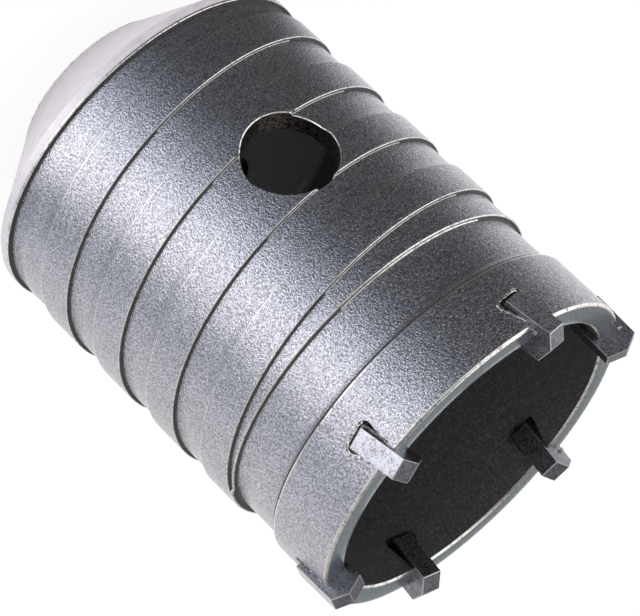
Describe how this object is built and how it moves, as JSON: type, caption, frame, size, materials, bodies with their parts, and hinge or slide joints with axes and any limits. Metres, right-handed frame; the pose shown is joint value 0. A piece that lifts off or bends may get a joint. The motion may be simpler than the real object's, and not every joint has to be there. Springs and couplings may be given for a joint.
{
  "type": "hole saw",
  "caption": "Cup-shaped masonry hole saw with brazed carbide tips round its rim, a shallow helical flute outside, a knock-out hole in the wall and a threaded bore for a shank in its rear.",
  "frame": {"origin": "centre of the rear face, which seats against the shank's shoulder", "axes": "+Z along the turning axis from the rear face to the open mouth, -Y towards the side hole, +X completes a right-handed frame"},
  "size_m": [0.0496, 0.049, 0.0731],
  "materials": {
    "body_steel": "alloy steel, turned at the rear cone and grit-blasted matt elsewhere",
    "carbide": "sintered tungsten carbide, blasted, with ground end facets",
    "braze": "pale silver-brass filler, as run"
  },
  "bodies": {
    "root": {"cup": "body_steel", "carbide_tip_1": "carbide", "carbide_tip_2": "carbide", "carbide_tip_3": "carbide", "carbide_tip_4": "carbide", "carbide_tip_5": "carbide", "carbide_tip_6": "carbide", "braze_1": "braze", "braze_2": "braze", "braze_3": "braze", "braze_4": "braze", "braze_5": "braze", "braze_6": "braze"}
  },
  "joints": []
}
